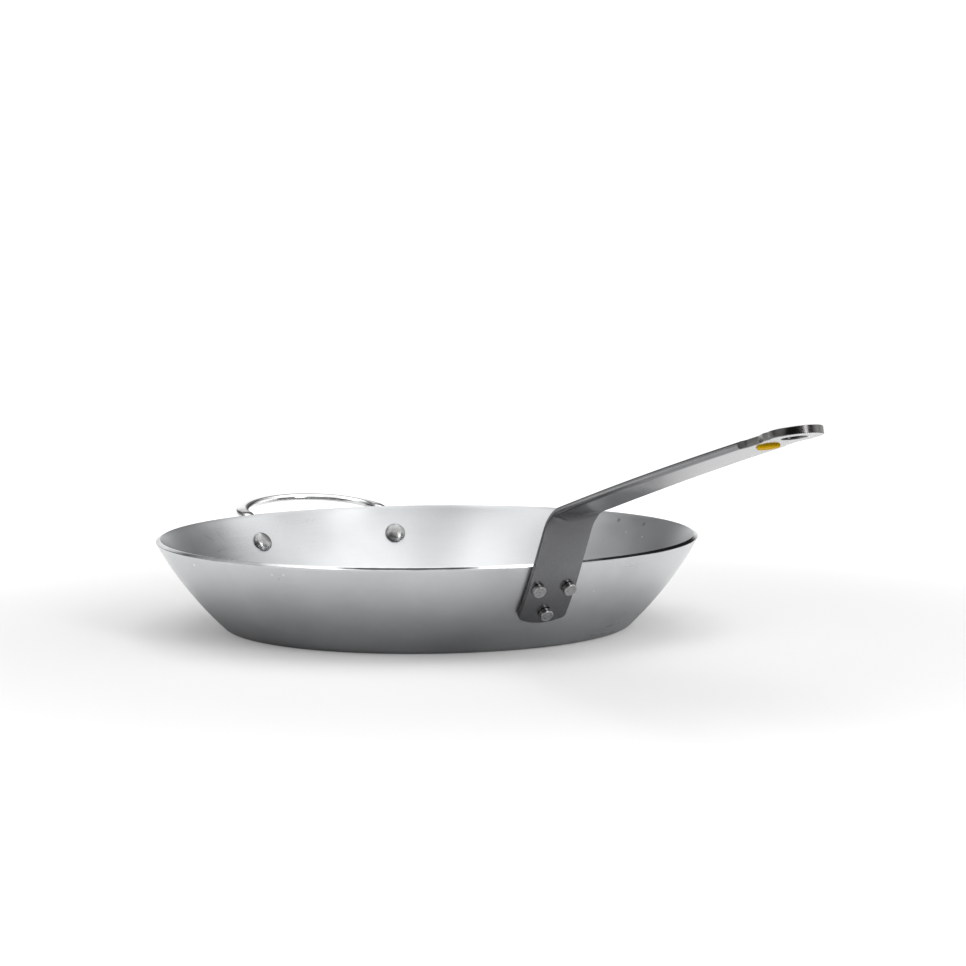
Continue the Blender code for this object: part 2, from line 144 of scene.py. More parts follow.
def drill_tool(origin, axis, radius, low, high, steps=48, flare=0.0, faces=None):
    """Cylinder cutter; with faces=(a, b) its wall opens by flare just at those two heights, which breaks the hole's edges."""
    profile = [(0.0, low)]
    if faces and flare:
        a, b = faces
        profile += [(radius + flare + (a - low), low), (radius + flare * 0.35, a + flare * 0.3), (radius, a + flare)]
        profile += [(radius, b - flare), (radius + flare * 0.35, b - flare * 0.3), (radius + flare + (high - b), high)]
    else:
        profile += [(radius, low), (radius, high)]
    profile.append((0.0, high))
    return lathe(profile, steps, frame_at(origin, axis))


# ---- the wall ----------------------------------------------------------------------------------------------
_knee = rad(KNUCKLE_END)
ARC_R0 = BASE_R + KNUCKLE_R * math.sin(_knee) - WALL_ARC_R * math.sin(_knee)
ARC_Z0 = KNUCKLE_R * (1 - math.cos(_knee)) + WALL_ARC_R * math.cos(_knee)


def wall(angle, offset=0.0):
    a = rad(angle)
    return ARC_R0 + (WALL_ARC_R + offset) * math.sin(a), ARC_Z0 - (WALL_ARC_R + offset) * math.cos(a)


def wall_point(angle, azimuth, offset=0.0):
    r, z = wall(angle, offset)
    return Vector((r * math.cos(rad(azimuth)), r * math.sin(rad(azimuth)), z))


def wall_normal(angle, azimuth):
    a, b = rad(angle), rad(azimuth)
    return Vector((math.sin(a) * math.cos(b), math.sin(a) * math.sin(b), -math.cos(a)))


def skin(offset):
    points = [(0.0, offset)] + [(BASE_R * k / 5, offset) for k in range(1, 6)]
    for k in range(1, 13):
        a = rad(KNUCKLE_END * k / 12)
        points.append((BASE_R + (KNUCKLE_R - offset) * math.sin(a), KNUCKLE_R - (KNUCKLE_R - offset) * math.cos(a)))
    return points


def build_pan():
    """Spun body with softly broken rim edges; the wall follows the same arc as the CAD body."""
    edge = 0.28
    top = math.degrees(edge / WALL_ARC_R)
    outer, inner = skin(0.0), skin(SHEET)
    for k in range(1, 31):
        outer.append(wall(KNUCKLE_END + (RIM_ANGLE - top - KNUCKLE_END) * k / 30, 0.0))
        inner.append(wall(KNUCKLE_END + (RIM_ANGLE - top - KNUCKLE_END) * k / 30, -SHEET))
    rim = []
    for k in range(1, 5):
        a = rad(90.0 * k / 4)
        rim.append(wall(RIM_ANGLE - top * (1 - math.sin(a)), -edge * (1 - math.cos(a))))
    for k in range(1, 4):
        rim.append(wall(RIM_ANGLE, -edge - (SHEET - 2 * edge) * k / 4))
    for k in range(4, -1, -1):
        a = rad(90.0 * k / 4)
        if k:
            rim.append(wall(RIM_ANGLE - top * (1 - math.sin(a)), -SHEET + edge * (1 - math.cos(a))))
    pan = finish_mesh(lathe(outer + rim + list(reversed(inner)), 360), "pan_body_spun", 40)
    return pan


# ---- long handle -------------------------------------------------------------------------------------------
LEG_MID = SEAT_GAP + STRIP_T / 2
_rim_r, _rim_z = wall(RIM_ANGLE, LEG_MID)
S_RIM = (WALL_ARC_R + LEG_MID) * rad(RIM_ANGLE - LEG_BOTTOM)
S_BEND = S_RIM + LEG_STRAIGHT
S_ARM = S_BEND + BEND_R * rad(RIM_ANGLE - ARM_ANGLE)
S_TIP = S_ARM + ARM_TO_TIP


def path(s):
    if s <= S_RIM:
        angle = LEG_BOTTOM + math.degrees(s / (WALL_ARC_R + LEG_MID))
        r, z = wall(angle, LEG_MID)
        return r, z, rad(angle)
    a = rad(RIM_ANGLE)
    if s <= S_BEND:
        d = s - S_RIM
        return _rim_r + d * math.cos(a), _rim_z + d * math.sin(a), a
    bx, bz = _rim_r + LEG_STRAIGHT * math.cos(a), _rim_z + LEG_STRAIGHT * math.sin(a)
    cx, cz = bx + BEND_R * math.sin(a), bz - BEND_R * math.cos(a)
    if s <= S_ARM:
        t = a - (s - S_BEND) / BEND_R
        return cx - BEND_R * math.sin(t), cz + BEND_R * math.cos(t), t
    t0 = rad(ARM_ANGLE)
    ex, ez = cx - BEND_R * math.sin(t0), cz + BEND_R * math.cos(t0)
    gx, gz = ex + ARM_ARC_R * math.sin(t0), ez - ARM_ARC_R * math.cos(t0)
    t = t0 - (s - S_ARM) / ARM_ARC_R
    return gx - ARM_ARC_R * math.sin(t), gz + ARM_ARC_R * math.cos(t), t


def on_strip(s, v, n):
    x, z, t = path(s)
    ease = 1.0 - smooth((s - S_RIM + 6.0) / (LEG_STRAIGHT + 6.0))
    n = n + ease * v * v / (2 * LEG_SADDLE_R)
    return Vector((x - n * math.sin(t), v, z + n * math.cos(t)))


def strip_axis(s):
    _, _, t = path(s)
    return Vector((-math.sin(t), 0.0, math.cos(t)))


def press_marks(s, v):
    """Depth of the marks the bending tool leaves in the concave face: a faint arc and two deeper nips at its ends."""
    arc = 70.6 + 0.036 * v * v
    d = s - arc
    depth = 0.10 * math.exp(-((d / 1.3) ** 2)) + 0.16 * smooth((d + 1.0) / 3.0) * (1 - smooth((d - 3.0) / 16.0))
    left = math.exp(-(((v + 9.2) / 4.2) ** 2)) * math.exp(-(((s - 75.2 + 0.62 * (v + 9.2)) / 1.15) ** 2))
    right = math.exp(-(((v - 13.2) / 2.6) ** 2)) * math.exp(-(((s - 77.2 - 0.9 * (v - 13.2)) / 1.3) ** 2))
    return depth + 0.42 * left + 0.40 * right


def stations():
    """(s, half-width, edge radius, crown) along the strip, from the leg's lower edge to the tip."""
    rows = []
    for k in range(9):
        a = rad(90.0 * k / 8)
        rows.append([LEG_CORNER_R * (1 - math.cos(a)), LEG_HALF_W - LEG_CORNER_R * (1 - math.sin(a)), 0.9, 1.0])
    s = LEG_CORNER_R
    while s < S_RIM - 1.5:
        s += 1.6
        rows.append([s, LEG_HALF_W, 0.9 + 0.3 * smooth(s / S_RIM), 1.0 - smooth(s / (S_RIM - 2.0))])
    s = S_RIM
    while s < S_BEND:
        rows.append([s, LEG_HALF_W, 1.2 + 0.25 * smooth((s - S_RIM) / LEG_STRAIGHT), 0.0])
        s += 1.4
    s = S_BEND
    while s < S_ARM + 6.0:
        rows.append([s, LEG_HALF_W, BAR_EDGE_R, 0.0])
        s += 0.6
    end = S_TIP - BAR_END
    n = 72
    s0 = s
    for k in range(n + 1):
        s = s0 + (end - s0) * k / n
        t = min(max((s - S_ARM - 60.0) / (end - S_ARM - 60.0), 0.0), 1.0)
        rows.append([s, LEG_HALF_W + (ARM_HALF_W - LEG_HALF_W) * t, BAR_EDGE_R, 0.0])
    # rolled edge blanked away, neck, shoulder and round head
    for k in range(1, 17):
        t = k / 16
        s = end + (BAR_END - NECK_END) * t
        w = ARM_HALF_W + (NECK_HALF_W - ARM_HALF_W) * (1 - (1 - t) ** 2)
        rows.append([s, w, -BAR_EDGE_R if ARM_HALF_W - w < BAR_EDGE_R - 0.3 else BLANK_EDGE_R, 0.0])
    foot, top = S_TIP - SHOULDER_FOOT, S_TIP - SHOULDER_TOP
    for k in range(1, 8):
        rows.append([S_TIP - NECK_END + (foot - 1.2 - S_TIP + NECK_END) * k / 7, NECK_HALF_W, BLANK_EDGE_R, 0.0])
    a0 = rad(-16.0)
    s_join, w_join = S_TIP - HEAD_CENTRE + HEAD_R * math.sin(a0), HEAD_R * math.cos(a0)
    corners = [(foot - 0.5, NECK_HALF_W + 0.06), (foot + 0.1, NECK_HALF_W + 0.24), (foot + 0.6, NECK_HALF_W + 0.45)]
    corners += [(top - 1.0, HEAD_R - 0.75), (top - 0.3, HEAD_R - 0.50), (top + 0.3, HEAD_R - 0.34), (top + 1.0, HEAD_R - 0.24)]
    for s, w in corners + [(s_join, w_join)]:
        rows.append([s, w, BLANK_EDGE_R, 0.0])
    for k in range(1, 41):
        a = a0 + (rad(87.5) - a0) * k / 40
        rows.append([S_TIP - HEAD_CENTRE + HEAD_R * math.sin(a), HEAD_R * math.cos(a), min(BLANK_EDGE_R, 0.4 * HEAD_R * math.cos(a)), 0.0])
    return rows


FLATS, CORNER = 44, 6


def strip_loop(s, w, r, crown):
    """One closed section. A negative edge radius keeps the bar's rolled edge, but cuts it off upright at half-width w."""
    h = STRIP_T / 2
    if r < 0:
        r = -r
        core = ARM_HALF_W - r
        arc = math.asin((w - core) / r)
    else:
        r = min(r, w * 0.5)
        core = w - r
        arc = rad(90.0)
    corner = [(core + r * math.sin(arc * k / CORNER), h - r + r * math.cos(arc * k / CORNER)) for k in range(CORNER + 1)]
    section = [(core * (2 * k / FLATS - 1), h) for k in range(FLATS)]
    section += corner + [(w, 0.0)] + [(v, -n) for v, n in reversed(corner)]
    section += [(core * (1 - 2 * k / FLATS), -h) for k in range(1, FLATS + 1)]
    section += [(-v, -n) for v, n in corner[1:]] + [(-w, 0.0)] + [(-v, n) for v, n in reversed(corner[1:])]
    out = []
    for v, n in section:
        at = s + crown * v * v / (2 * LEG_CROWN_R)
        if n < 0 and 60.0 < s < 100.0:
            n += press_marks(at, v) * min(1.0, -n / h)
        out.append(on_strip(at, v, n))
    return out


def build_handle():
    rows = stations()
    bm, lines = loft([strip_loop(*row) for row in rows])
    n = len(lines[0])
    side = 2 * CORNER + 1
    for row in (lines[0], lines[-1]):
        near, far = row[: FLATS + 1], list(reversed(row[FLATS + side : 2 * FLATS + side + 1]))
        for k in range(FLATS):
            bm.faces.new((near[k], near[k + 1], far[k + 1], far[k]))
        bm.faces.new(row[FLATS : FLATS + side + 1])
        bm.faces.new(row[2 * FLATS + side :] + row[:1])
    handle = finish_mesh(bm, "long_handle_strip", 32)
    s_hole, s_disc = S_TIP - HOLE_BACK, S_TIP - DISC_BACK
    h = STRIP_T / 2
    tools = [
        drill_tool(on_strip(s_hole, 0, 0), strip_axis(s_hole), HOLE_R, -5, 5, 96, 0.35, (-h, h)),
        drill_tool(on_strip(s_disc, 0, -h), strip_axis(s_disc), DISC_R + 0.3, -4, SEAT_DEPTH, 72),
    ]
    for angle, azimuth in ((HANDLE_RIVET_UP, -HANDLE_RIVET_AZ), (HANDLE_RIVET_UP, HANDLE_RIVET_AZ), (HANDLE_RIVET_LOW, 0.0)):
        tools.append(drill_tool(wall_point(angle, azimuth), wall_normal(angle, azimuth), SHANK_R + SHANK_CLEAR, -4, 12, 40))
    cut_all(handle, tools, 32)
    return handle


def build_disc():
    """Domed button with a rolled edge, set in its seat under the head."""
    s = S_TIP - DISC_BACK
    edge, high = 0.85, SEAT_DEPTH - 0.3
    low = -DISC_PROUD
    profile = [(0.0, high), (DISC_R * 0.5, high), (DISC_R - 0.15, high), (DISC_R, high - 0.15), (DISC_R, low + edge + 0.3)]
    for k in range(1, 9):
        a = rad(90.0 * k / 8)
        profile.append((DISC_R - edge * (1 - math.cos(a)), low + 0.3 + edge * (1 - math.sin(a))))
    for k in range(1, 9):
        r = (DISC_R - edge) * (1 - k / 8)
        profile.append((r, low + 0.3 * (r / (DISC_R - edge)) ** 2 if r > 1e-6 else low))
    place = frame_at(on_strip(s, 0, -STRIP_T / 2), strip_axis(s))
    return finish_mesh(lathe(profile, 96, place), "handle_medallion_button", 35)


# ---- rivets ------------------------------------------------------------------------------------------------
def hammered(seed):
    """Small uneven swell of a set rivet, as a smooth function of position on it."""

    def warp(r, z, a):
        k = 0.05 * math.sin(2 * a + seed) + 0.035 * math.sin(3 * a + 2.1 * seed) + 0.02 * math.sin(5 * a - seed)
        return r * (1 + 0.006 * k / 0.05), z + 0.03 * math.sin(2 * a + 1.7 * seed + 0.4 * r) * min(1.0, r / 2.0)

    return warp


def rivet_profile(plate):
    seat = -SHEET - SEAT_GAP
    points = [(0.0, seat - DOME_H)]
    for k in range(1, 19):
        a = rad(90.0 * k / 18)
        flat = 0.94
        points.append((DOME_R * math.sin(a), seat - 0.35 - (DOME_H - 0.35) * math.cos(a) ** flat if a < rad(89.9) else seat - 0.35))
    points += [(DOME_R, seat - 0.12), (DOME_R - 0.12, seat)]
    out = plate + 2 * SEAT_GAP
    points += [(SHANK_R, seat), (SHANK_R, out), (TAIL_R - 0.15, out), (TAIL_R, out + 0.15), (TAIL_R, out + TAIL_H - 1.0)]
    for k in range(1, 9):
        a = rad(90.0 * k / 8)
        points.append((TAIL_R - 0.75 + 0.75 * math.cos(a), out + TAIL_H - 1.0 + 1.0 * math.sin(a) - 0.03 * k / 8))
    top = out + TAIL_H - 0.03
    for r, drop in ((2.75, 0.0), (2.45, 0.10), (2.25, 0.24), (2.05, 0.30), (1.85, 0.24), (1.65, 0.12), (1.3, 0.06), (0.8, 0.12), (0.45, 0.22), (0.2, 0.26)):
        points.append((r, top - drop))
    points.append((0.0, top - 0.27))
    return points


def build_rivet(name, angle, azimuth, plate, seed):
    place = frame_at(wall_point(angle, azimuth), wall_normal(angle, azimuth))
    return finish_mesh(lathe(rivet_profile(plate), 64, place, hammered(seed)), name, 40)


# ---- helper loop -------------------------------------------------------------------------------------------
def helper_half_path():
    az = 180.0 - HELPER_RIVET_AZ
    per_mm = math.degrees(1.0 / WALL_ARC_R)
    pad_off = SEAT_GAP + PAD_HALF_T
    rows = []
    for k in range(15):
        a = rad(90.0 * k / 14)
        ang = HELPER_RIVET_ANGLE + (-PAD_BELOW + PAD_HALF_W * (1 - math.cos(a))) * per_mm
        w = max(PAD_HALF_W * math.sin(a), 0.9)
        t = PAD_HALF_T * (0.72 + 0.28 * math.sin(a))
        rows.append((wall_point(ang, az, pad_off), wall_normal(ang, az), w, t, 4.5))
    for k in range(1, 9):
        along = -PAD_BELOW + PAD_HALF_W + (PAD_ABOVE - 2.0 + PAD_BELOW - PAD_HALF_W) * k / 8
        ang = HELPER_RIVET_ANGLE + along * per_mm
        rows.append((wall_point(ang, az, pad_off), wall_normal(ang, az), PAD_HALF_W, PAD_HALF_T, 4.5))
    ang = HELPER_RIVET_ANGLE + (PAD_ABOVE - 2.0) * per_mm
    start, n0 = wall_point(ang, az, pad_off), wall_normal(ang, az)
    az_r = rad(az)
    up = Vector((math.cos(rad(ang)) * math.cos(az_r), math.cos(rad(ang)) * math.sin(az_r), math.sin(rad(ang))))
    stop = Vector((-LOOP_ROOT, LOOP_HALF_W, LOOP_Z))
    n1 = Vector((0.0, 0.0, -1.0))
    d0, d1 = up * 26.0, Vector((-22.0, 0.0, 1.6))
    for k in range(1, 49):
        t = k / 48
        p = start * (2 * t**3 - 3 * t**2 + 1) + d0 * (t**3 - 2 * t**2 + t) + stop * (-2 * t**3 + 3 * t**2) + d1 * (t**3 - t**2)
        m = smooth(t / 0.75)
        w = PAD_HALF_W + (ROD_HALF_W - PAD_HALF_W) * m
        h = PAD_HALF_T + (ROD_HALF_T - PAD_HALF_T) * m
        rows.append((p, n0.lerp(n1, smooth(t)).normalized(), w, h, 4.5 - 2.2 * m))
    for k in range(1, 73):
        a = rad(90.0 * k / 72)
        reach = LOOP_REACH * math.sin(a)
        p = Vector((-(LOOP_ROOT + reach), LOOP_HALF_W * math.cos(a), LOOP_Z + LOOP_RISE * (reach / LOOP_REACH) ** 1.3))
        tilt = rad(8.0) * math.sin(a)
        rows.append((p, Vector((-math.sin(tilt), 0.0, -math.cos(tilt))), ROD_HALF_W, ROD_HALF_T, 2.3))
    return rows


def build_helper(sides=48):
    half = helper_half_path()
    full = half + [(Vector((p.x, -p.y, p.z)), Vector((n.x, -n.y, n.z)), w, t, q) for p, n, w, t, q in reversed(half[:-1])]
    loops = []
    for i, (p, n, w, t, q) in enumerate(full):
        tangent = (full[min(i + 1, len(full) - 1)][0] - full[max(i - 1, 0)][0]).normalized()
        across = tangent.cross(n).normalized()
        thick = across.cross(tangent).normalized()
        loop = []
        for k in range(sides):
            a = 2 * math.pi * k / sides
            c, s = math.cos(a), math.sin(a)
            loop.append(p + across * (w * math.copysign(abs(c) ** (2 / q), c)) + thick * (t * math.copysign(abs(s) ** (2 / q), s)))
        loops.append(loop)
    bm, lines = loft(loops)
    bm.faces.new(lines[0])
    bm.faces.new(list(reversed(lines[-1])))
    helper = finish_mesh(bm, "helper_handle_loop", 50)
    tools = []
    for side in (-1, 1):
        az = 180.0 + side * HELPER_RIVET_AZ
        tools.append(drill_tool(wall_point(HELPER_RIVET_ANGLE, az), wall_normal(HELPER_RIVET_ANGLE, az), SHANK_R + SHANK_CLEAR, -4, 12, 40))
    cut_all(helper, tools, 50)
    return helper


# ---- node-material helpers ---------------------------------------------------------------------------------
class Tree:
    def __init__(self, name, world=False):
        if world:
            self.owner = bpy.data.worlds.new(name)
        else:
            self.owner = bpy.data.materials.new(name)
        self.owner.use_nodes = True
        self.nt = self.owner.node_tree
        self.nt.nodes.clear()

    def add(self, kind, sets=None, **inputs):
        node = self.nt.nodes.new(kind)
        for key, value in (sets or {}).items():
            setattr(node, key, value)
        for key, value in inputs.items():
            self.put(node, key.replace("_", " "), value)
        return node

    def put(self, node, key, value):
        socket = node.inputs[int(key)] if key.isdigit() else node.inputs[key]
        if isinstance(value, bpy.types.NodeSocket):
            self.nt.links.new(value, socket)
        else:
            socket.default_value = value

    def math(self, op, a, b=0.0, c=None, clamp=False):
        node = self.add("ShaderNodeMath", {"operation": op, "use_clamp": clamp})
        self.put(node, "0", a)
        self.put(node, "1", b)
        if c is not None:
            self.put(node, "2", c)
        return node.outputs[0]

    def vec(self, op, a, b=None, scale=None):
        node = self.add("ShaderNodeVectorMath", {"operation": op})
        self.put(node, "0", a)
        if b is not None:
            self.put(node, "1", b)
        if scale is not None:
            self.put(node, "Scale", scale)
        return node.outputs["Value"] if op in ("DOT_PRODUCT", "LENGTH", "DISTANCE") else node.outputs["Vector"]

    def ramp(self, value, low, high, out_low=0.0, out_high=1.0, kind="SMOOTHSTEP"):
        node = self.add("ShaderNodeMapRange", {"interpolation_type": kind})
        self.put(node, "Value", value)
        self.put(node, "From Min", low)
        self.put(node, "From Max", high)
        self.put(node, "To Min", out_low)
        self.put(node, "To Max", out_high)
        return node.outputs["Result"]

    def noise(self, vector, scale, detail=3.0, rough=0.55, distortion=0.0):
        node = self.add("ShaderNodeTexNoise")
        self.put(node, "Vector", vector)
        self.put(node, "Scale", scale)
        self.put(node, "Detail", detail)
        self.put(node, "Roughness", rough)
        self.put(node, "Distortion", distortion)
        return node.outputs["Fac"]

    def mix(self, fac, a, b):
        node = self.add("ShaderNodeMix", {"data_type": "RGBA"})
        self.put(node, "0", fac)
        for index, value in ((6, a), (7, b)):
            if isinstance(value, bpy.types.NodeSocket):
                self.nt.links.new(value, node.inputs[index])
            else:
                node.inputs[index].default_value = value
        return node.outputs[2]

    def fmix(self, fac, a, b):
        node = self.add("ShaderNodeMix", {"data_type": "FLOAT"})
        self.put(node, "0", fac)
        for index, value in ((2, a), (3, b)):
            if isinstance(value, bpy.types.NodeSocket):
                self.nt.links.new(value, node.inputs[index])
            else:
                node.inputs[index].default_value = value
        return node.outputs[0]

    def xyz(self, vector):
        node = self.add("ShaderNodeSeparateXYZ")
        self.put(node, "0", vector)
        return node.outputs

    def join(self, x, y, z):
        node = self.add("ShaderNodeCombineXYZ")
        for key, value in (("0", x), ("1", y), ("2", z)):
            self.put(node, key, value)
        return node.outputs[0]

    def bump(self, height, strength, distance, normal=None):
        node = self.add("ShaderNodeBump")
        self.put(node, "Height", height)
        self.put(node, "Strength", strength)
        self.put(node, "Distance", distance)
        if normal is not None:
            self.put(node, "Normal", normal)
        return node.outputs["Normal"]

    def spot(self, place, centre, radius, soft=0.5, stretch=None):
        """1 at a point in object space, falling to 0 at the radius (metres)."""
        offset = self.vec("SUBTRACT", place, tuple(centre))
        if stretch:
            offset = self.vec("MULTIPLY", offset, stretch)
        return self.ramp(self.vec("LENGTH", offset), radius * (1 - soft), radius, 1.0, 0.0)

    def surface(self, **inputs):
        bsdf = self.add("ShaderNodeBsdfPrincipled")
        for key, value in inputs.items():
            self.put(bsdf, key.replace("_", " "), value)
        out = self.add("ShaderNodeOutputMaterial")
        self.nt.links.new(bsdf.outputs[0], out.inputs["Surface"])
        return self.owner


def grey(v, warm=0.0):
    return (v * (1 + warm), v, v * (1 - warm), 1.0)


def pan_steel():
    """Bare spun carbon steel: fine rings from the spinning and polishing, soft blotches, a few rubs and specks."""
    t = Tree("pan_carbon_steel")
    place = t.add("ShaderNodeTexCoord").outputs["Object"]
    x, y, z = t.xyz(place)
    flat = t.join(x, y, 0.0)
    r = t.vec("LENGTH", flat)
    along = t.math("ADD", r, z)
    unit = t.vec("NORMALIZE", flat)
    ux, uy, _ = t.xyz(unit)

    def rings(turns, per_metre, detail):
        return t.noise(t.join(t.math("MULTIPLY", ux, turns), t.math("MULTIPLY", uy, turns), t.math("MULTIPLY", along, per_metre)), 1.0, detail, 0.6)

    fine = rings(9.0, 1500.0, 2.0)
    medium = rings(5.0, 380.0, 3.0)
    broad = rings(1.2, 60.0, 2.0)
    grain = t.noise(place, 900.0, 2.0, 0.6)
    blotch = t.noise(place, 26.0, 4.0, 0.55, 0.3)
    cloud = t.noise(place, 7.5, 3.0, 0.5)
    tone = t.math("ADD", t.math("MULTIPLY", blotch, 0.5), t.math("MULTIPLY", cloud, 0.5))
    color = t.mix(t.ramp(tone, 0.32, 0.68), grey(0.545, -0.019), grey(0.625, -0.017))
    color = t.mix(t.math("MULTIPLY", t.ramp(grain, 0.55, 0.75), 0.10), color, grey(0.40, -0.01))
    color = t.mix(t.math("MULTIPLY", t.ramp(medium, 0.30, 0.70), 0.10), color, grey(0.70, -0.01))
    # rubs and specks
    cells = t.add("ShaderNodeTexVoronoi", {"feature": "F1"})
    t.put(cells, "Vector", place)
    t.put(cells, "Scale", 55.0)
    pick = t.xyz(cells.outputs["Color"])
    speck = t.math("MULTIPLY", t.ramp(cells.outputs["Distance"], 0.020, 0.045, 1.0, 0.0), t.ramp(pick[0], 0.90, 0.93))
    color = t.mix(t.math("MULTIPLY", speck, 0.55), color, grey(0.88))
    # single marks: two dark spots, a few pale nicks and two short scratches
    for angle, azimuth, offset, radius, depth, shade in (
        (59.8, 103.6, -SHEET, 1.9, 0.55, 0.16),
        (59.7, 94.3, -SHEET, 1.7, 0.55, 0.16),
        (57.8, 99.5, -SHEET, 0.9, 0.8, 0.95),
        (57.3, 92.6, -SHEET, 1.1, 0.9, 0.95),
        (59.7, -83.1, 0.0, 1.2, 0.8, 0.95),
        (59.6, -59.2, 0.0, 0.9, 0.6, 0.92),
        (59.7, -56.4, 0.0, 1.0, 0.6, 0.92),
        (58.9, -57.8, 0.0, 0.8, 0.5, 0.30),
        (55.2, 12.5, 0.0, 0.8, 0.6, 0.92),
    ):
        spot = t.spot(place, wall_point(angle, azimuth, offset) * MM, radius * MM, 0.6)
        color = t.mix(t.math("MULTIPLY", spot, depth), color, grey(shade))
    for one, two in (((59.6, 211.9), (56.9, 210.3)), ((58.9, 216.9), (57.4, 214.2))):
        for k in range(9):
            q = k / 8
            at = wall_point(one[0] + (two[0] - one[0]) * q, one[1] + (two[1] - one[1]) * q, -SHEET) * MM
            color = t.mix(t.math("MULTIPLY", t.spot(place, at, 0.00105, 0.7), 0.28 * math.sin(math.pi * (q * 0.8 + 0.1))), color, grey(0.30))
    rough = t.fmix(t.ramp(tone, 0.35, 0.65), 0.28, 0.34)
    rough = t.math("ADD", rough, t.math("MULTIPLY", t.math("SUBTRACT", medium, 0.5), 0.10))
    rough = t.math("ADD", rough, t.math("MULTIPLY", speck, 0.2))
    height = t.math("ADD", t.math("MULTIPLY", fine, 0.45), t.math("MULTIPLY", medium, 0.55))
    height = t.math("ADD", height, t.math("MULTIPLY", grain, 0.35))
    height = t.math("ADD", height, t.math("MULTIPLY", broad, 0.8))
    normal = t.bump(height, 0.16, 0.00012)
    tangent = t.add("ShaderNodeTangent", {"direction_type": "RADIAL", "axis": "Z"}).outputs[0]
    return t.surface(
        Base_Color=color, Metallic=1.0, Roughness=rough, Anisotropic=0.45, Anisotropic_Rotation=0.25, Tangent=tangent, Normal=normal
    )


def rim_steel():
    """The sheared and lightly dressed edge of the sheet: smoother than the skin, with fine lines along the rim."""
    t = Tree("pan_rim_steel")
    place = t.add("ShaderNodeTexCoord").outputs["Object"]
    x, y, z = t.xyz(place)
    unit = t.vec("NORMALIZE", t.join(x, y, 0.0))
    ux, uy, _ = t.xyz(unit)
    r = t.vec("LENGTH", t.join(x, y, 0.0))
    lines = t.noise(t.join(t.math("MULTIPLY", ux, 14.0), t.math("MULTIPLY", uy, 14.0), t.math("MULTIPLY", r, 2600.0)), 1.0, 2.0, 0.6)
    patch = t.noise(t.join(t.math("MULTIPLY", ux, 3.0), t.math("MULTIPLY", uy, 3.0), 0.0), 3.0, 3.0, 0.6)
    color = t.mix(t.ramp(patch, 0.35, 0.65), grey(0.52, -0.019), grey(0.63, -0.017))
    rough = t.fmix(t.ramp(patch, 0.35, 0.65), 0.07, 0.12)
    normal = t.bump(t.math("ADD", lines, t.math("MULTIPLY", patch, 1.5)), 0.10, 0.0001)
    return t.surface(Base_Color=color, Metallic=1.0, Roughness=rough, Normal=normal)


def strip_steel():
    """Blackened, semi-matte strip steel: fine mottled scale, lighter rubbed edges, faint drawn lines along it."""
    t = Tree("handle_dark_strip_steel")
    place = t.add("ShaderNodeTexCoord").outputs["Object"]
    x, y, z = t.xyz(place)
    mottle = t.noise(place, 750.0, 3.0, 0.6)
    patch = t.noise(place, 60.0, 4.0, 0.55, 0.4)
    drawn = t.noise(t.join(t.math("MULTIPLY", x, 25.0), t.math("MULTIPLY", y, 900.0), t.math("MULTIPLY", z, 60.0)), 1.0, 3.0, 0.6)
    tone = t.math("ADD", t.math("MULTIPLY", mottle, 0.6), t.math("MULTIPLY", patch, 0.4))
    color = t.mix(t.ramp(tone, 0.36, 0.64), grey(0.200, -0.018), grey(0.232, -0.018))
    point = t.add("ShaderNodeNewGeometry").outputs["Pointiness"]
    edge = t.math("MULTIPLY", t.ramp(point, 0.515, 0.60), t.ramp(patch, 0.35, 0.62))
    color = t.mix(t.math("MULTIPLY", edge, 0.35), color, grey(0.36))
    bx, _, bz = on_strip((S_BEND + S_ARM) / 2 + 4.0, 0, -2) * MM
    bend = t.spot(place, (bx, 0.0, bz), 0.040, 0.8)
    color = t.mix(t.math("MULTIPLY", bend, 0.62), color, grey(0.10, -0.01))
    color = t.mix(t.ramp(z, 0.02, 0.095, 0.34, 0.0), color, grey(0.06, -0.01))   # painted shade: the strip darker towards its foot, near the floor and the pan wall
    rough = t.fmix(t.ramp(patch, 0.3, 0.7), 0.08, 0.11)
    rough = t.math("ADD", rough, t.ramp(x, 0.17, 0.27, 0.13, 0.0))
    rough = t.math("ADD", rough, t.math("MULTIPLY", t.math("SUBTRACT", mottle, 0.5), 0.08))
    height = t.math("ADD", t.math("MULTIPLY", mottle, 0.7), t.math("MULTIPLY", drawn, 0.45))
    height = t.math("ADD", height, t.math("MULTIPLY", patch, 0.6))
    normal = t.bump(height, 0.06, 0.00012)
    return t.surface(Base_Color=color, Metallic=1.0, Roughness=rough, Normal=normal)


def blanked_edge():
    """Blanked edges of the head, neck and holes: darker than the faces, with fine upright tool lines."""
    t = Tree("handle_blanked_edge")
    place = t.add("ShaderNodeTexCoord").outputs["Object"]
    x, y, z = t.xyz(place)
    lines = t.noise(t.join(t.math("MULTIPLY", x, 1400.0), t.math("MULTIPLY", y, 1400.0), t.math("MULTIPLY", z, 60.0)), 1.0, 2.0, 0.6)
    patch = t.noise(place, 110.0, 2.0, 0.5)
    color = t.mix(t.ramp(patch, 0.35, 0.65), grey(0.11, 0.02), grey(0.125, 0.02))
    rough = t.fmix(t.ramp(patch, 0.3, 0.7), 0.20, 0.30)
    normal = t.bump(t.math("ADD", lines, t.math("MULTIPLY", patch, 0.5)), 0.012, 0.0001)
    return t.surface(Base_Color=color, Metallic=1.0, Roughness=rough, Normal=normal)


